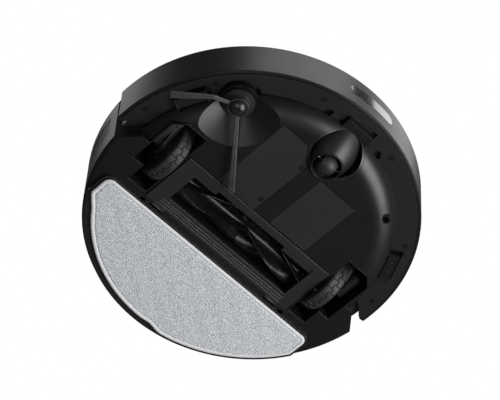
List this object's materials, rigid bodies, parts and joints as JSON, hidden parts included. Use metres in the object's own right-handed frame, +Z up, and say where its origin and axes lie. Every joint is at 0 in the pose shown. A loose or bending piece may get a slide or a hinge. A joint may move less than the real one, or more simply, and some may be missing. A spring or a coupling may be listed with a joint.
{
  "type": "robot vacuum cleaner",
  "caption": "Round flat robot vacuum with side brush, main roller brush, sprung drive wheels, front caster, bumper and pull-out tank with half-moon mop pad.",
  "frame": {"origin": "on the floor under the middle of the machine's bounding box", "axes": "+Z up from the floor, -Y towards the bumper (front), +X to the right seen from above with the front towards the viewer"},
  "size_m": [0.35, 0.3438, 0.0802],
  "materials": {
    "dark_shell": "fine moulded texture",
    "satin_shell": "satin",
    "dark_gloss": "polished",
    "grey_plastic": "fine moulded texture",
    "smoked_window": "polished infrared window",
    "tyre_rubber": "matt tread",
    "brush_rubber": "smooth",
    "bristle_arm": "smooth",
    "steel": "turned",
    "screw_black": "blackened",
    "motor_can": "drawn",
    "gear_white": "smooth",
    "board_green": "solder mask",
    "battery_wrap": "shrink sleeve",
    "contact_metal": "plated",
    "filter_paper": "pleated",
    "tank_clear": "smoked",
    "mop_cloth": "heathered microfibre"
  },
  "bodies": {
    "chassis": {"base_pan": "dark_shell", "base_screws": "screw_black", "battery_cover": "grey_plastic", "battery_pack": "battery_wrap", "brush_housing": "dark_shell", "brush_motor": "motor_can", "bumper_switches": "dark_gloss", "caster_cup": "dark_gloss", "charging_contacts": "contact_metal", "cliff_sensors": "smoked_window", "drive_belt": "tyre_rubber", "fan_housing": "dark_shell", "fan_motor": "motor_can", "label_plate": "grey_plastic", "main_board": "board_green", "main_brush_bushes": "gear_white", "side_brush_gearbox": "dark_shell", "side_brush_motor": "motor_can", "top_cover": "satin_shell", "upper_frame": "satin_shell", "vent_grilles": "satin_shell", "wheel_housings": "dark_shell", "wheel_pivot_pins": "steel", "wheel_spring_left": "steel", "wheel_spring_right": "steel"},
    "bumper": {"bumper_shell": "satin_shell", "bumper_flange": "dark_shell", "flange_screws": "screw_black", "ir_window": "smoked_window"},
    "side_brush": {"side_brush_hub": "dark_gloss", "side_brush_arms": "bristle_arm", "side_brush_screw": "screw_black", "side_brush_gear": "gear_white"},
    "side_brush_pinion": {"side_brush_pinion": "gear_white"},
    "main_brush": {"main_brush_core": "dark_gloss", "main_brush_blades": "brush_rubber", "brush_pulley": "gear_white"},
    "motor_pulley": {"motor_pulley": "gear_white"},
    "brush_frame": {"brush_frame": "grey_plastic"},
    "frame_latches": {"frame_latches": "grey_plastic"},
    "left_swing_arm": {"wheel_gearbox_left": "dark_shell", "wheel_motor_left": "motor_can"},
    "right_swing_arm": {"wheel_gearbox_right": "dark_shell", "wheel_motor_right": "motor_can"},
    "left_wheel": {"wheel_tyre_left": "tyre_rubber", "wheel_hub_left": "grey_plastic"},
    "right_wheel": {"wheel_tyre_right": "tyre_rubber", "wheel_hub_right": "grey_plastic"},
    "caster_fork": {"caster_hood": "dark_gloss", "caster_axle": "steel"},
    "caster_wheel": {"caster_wheel": "tyre_rubber"},
    "fan": {"fan_impeller": "gear_white"},
    "power_button": {"power_button": "grey_plastic"},
    "home_button": {"home_button": "grey_plastic"},
    "tank": {"dust_tank": "tank_clear", "tank_lid": "tank_clear", "dust_filter": "filter_paper"},
    "tank_release": {"tank_release": "grey_plastic"},
    "mop": {"mop_plate": "dark_shell", "mop_pad": "mop_cloth"}
  },
  "joints": [
    {"name": "bumper_push", "type": "slide", "parent": "chassis", "child": "bumper", "axis": [0, 1, 0], "range_m": [0, 0.003], "stiffness_N_per_m": 400, "springref_m": -0.004},
    {"name": "side_brush_spin", "type": "hinge", "parent": "chassis", "child": "side_brush", "pos_m": [-0.107, -0.09105, 0.02], "axis": [0, 0, 1], "continuous": true},
    {"name": "side_brush_pinion_spin", "type": "hinge", "parent": "chassis", "child": "side_brush_pinion", "pos_m": [-0.09586, -0.08123, 0.03], "axis": [0, 0, 1], "continuous": true},
    {"name": "main_brush_spin", "type": "hinge", "parent": "chassis", "child": "main_brush", "pos_m": [0, 0.01425, 0.026], "axis": [1, 0, 0], "continuous": true},
    {"name": "motor_pulley_spin", "type": "hinge", "parent": "chassis", "child": "motor_pulley", "pos_m": [0.09, -0.01075, 0.06], "axis": [1, 0, 0], "continuous": true},
    {"name": "brush_frame_release", "type": "slide", "parent": "chassis", "child": "brush_frame", "axis": [0, 0, -1], "range_m": [0, 0.03]},
    {"name": "frame_latch_slide", "type": "slide", "parent": "chassis", "child": "frame_latches", "axis": [0, 1, 0], "range_m": [0, 0.0024], "stiffness_N_per_m": 150, "springref_m": -0.002},
    {"name": "left_wheel_swing", "type": "hinge", "parent": "chassis", "child": "left_swing_arm", "pos_m": [-0.1223, -0.03375, 0.042], "axis": [-1, 0, 0], "range_deg": [0, 20], "stiffness_Nm_per_rad": 0.12, "springref_deg": 68.75, "deforming": ["wheel_spring_left"]},
    {"name": "left_wheel_spin", "type": "hinge", "parent": "left_swing_arm", "child": "left_wheel", "pos_m": [-0.1107, 0.00575, 0.034], "axis": [1, 0, 0], "continuous": true},
    {"name": "right_wheel_swing", "type": "hinge", "parent": "chassis", "child": "right_swing_arm", "pos_m": [0.1223, -0.03375, 0.042], "axis": [-1, 0, 0], "range_deg": [0, 20], "stiffness_Nm_per_rad": 0.12, "springref_deg": 68.75, "deforming": ["wheel_spring_right"]},
    {"name": "right_wheel_spin", "type": "hinge", "parent": "right_swing_arm", "child": "right_wheel", "pos_m": [0.1107, 0.00575, 0.034], "axis": [1, 0, 0], "continuous": true},
    {"name": "caster_swivel", "type": "hinge", "parent": "chassis", "child": "caster_fork", "pos_m": [0, -0.12075, 0.03], "axis": [0, 0, 1], "continuous": true},
    {"name": "caster_roll", "type": "hinge", "parent": "caster_fork", "child": "caster_wheel", "pos_m": [0, -0.10775, 0.0115], "axis": [1, 0, 0], "continuous": true},
    {"name": "fan_spin", "type": "hinge", "parent": "chassis", "child": "fan", "pos_m": [-0.118, 0.07325, 0.03], "axis": [0, 0, 1], "continuous": true},
    {"name": "power_button_press", "type": "slide", "parent": "chassis", "child": "power_button", "axis": [0, 0, -1], "range_m": [0, 0.0008], "stiffness_N_per_m": 900, "springref_m": -0.0008},
    {"name": "home_button_press", "type": "slide", "parent": "chassis", "child": "home_button", "axis": [0, 0, -1], "range_m": [0, 0.0008], "stiffness_N_per_m": 900, "springref_m": -0.0008},
    {"name": "tank_pull", "type": "slide", "parent": "chassis", "child": "tank", "axis": [0, 1, 0], "range_m": [0, 0.12]},
    {"name": "tank_release_press", "type": "slide", "parent": "tank", "child": "tank_release", "axis": [0, -1, 0], "range_m": [0, 0.003], "stiffness_N_per_m": 500, "springref_m": -0.002},
    {"name": "mop_pull", "type": "slide", "parent": "chassis", "child": "mop", "axis": [0, 1, 0], "range_m": [0, 0.12]}
  ],
  "couplings": [
    {"joint": "side_brush_pinion_spin", "follows": "side_brush_spin", "ratio": -3.2},
    {"joint": "motor_pulley_spin", "follows": "main_brush_spin", "ratio": 1.6}
  ]
}
